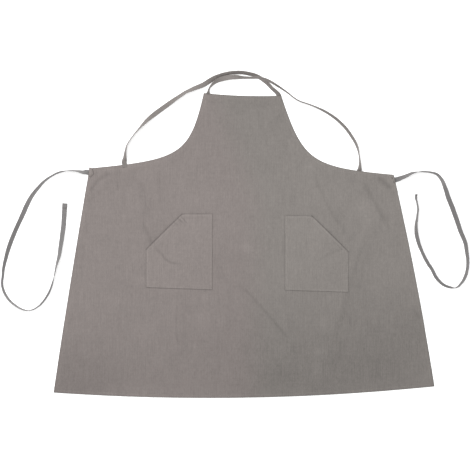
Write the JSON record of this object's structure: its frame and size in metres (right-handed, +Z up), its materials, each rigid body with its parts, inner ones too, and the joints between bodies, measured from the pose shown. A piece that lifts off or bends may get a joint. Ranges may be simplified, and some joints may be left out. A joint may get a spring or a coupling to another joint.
{
  "type": "kitchen apron",
  "caption": "Bib apron laid flat, with patch pockets that have slanted mouths, shoulder straps that cross at the back and long waist ties.",
  "frame": {"origin": "on the surface that the apron lies on, under the middle of the box round the cloth, its pockets and its shoulder straps", "axes": "+X to the right as seen from above, across the apron; +Y from the bottom hem towards the bib; +Z up, out of the front of the cloth"},
  "size_m": [1.3111, 0.9186, 0.0219],
  "materials": {
    "cloth": "plain-woven washed linen and cotton, warm grey, matt",
    "tape": "folded and edge-stitched strip of the same warm grey cloth, matt"
  },
  "bodies": {
    "root": {"panel": "cloth", "pocket_left": "cloth", "pocket_right": "cloth", "shoulder_strap_left": "tape", "shoulder_strap_right": "tape", "waist_tie_left": "tape", "waist_tie_right": "tape"}
  },
  "joints": []
}
